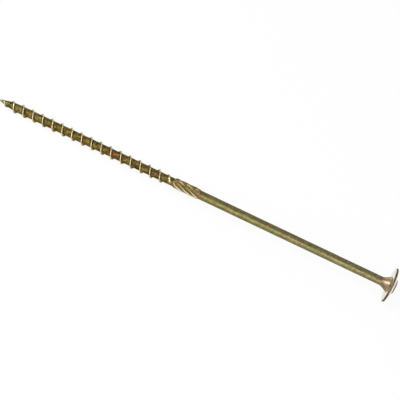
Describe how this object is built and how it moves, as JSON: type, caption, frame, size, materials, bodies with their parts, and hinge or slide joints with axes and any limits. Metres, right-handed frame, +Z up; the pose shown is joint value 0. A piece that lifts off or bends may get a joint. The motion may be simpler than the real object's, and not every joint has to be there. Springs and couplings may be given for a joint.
{
  "type": "washer head wood screw",
  "caption": "Long timber screw with a wide washer head, hexalobular drive recess, flared neck, smooth shank, ribbed shank cutter and coarse right-hand thread running to a sharp point.",
  "frame": {"origin": "centre of the washer's flat underside, on the screw's axis", "axes": "X along the screw as it lies, with the tip towards -X and the crown of the head towards +X; Z up. The screw's own axis dips 1.67 degrees towards the tip, because the washer's rim and a thread crest both lie on the same surface"},
  "size_m": [0.2842, 0.0234, 0.0235],
  "materials": {
    "yellow_zinc": "satin"
  },
  "bodies": {
    "root": {"washer_head_screw": "yellow_zinc"}
  },
  "joints": []
}
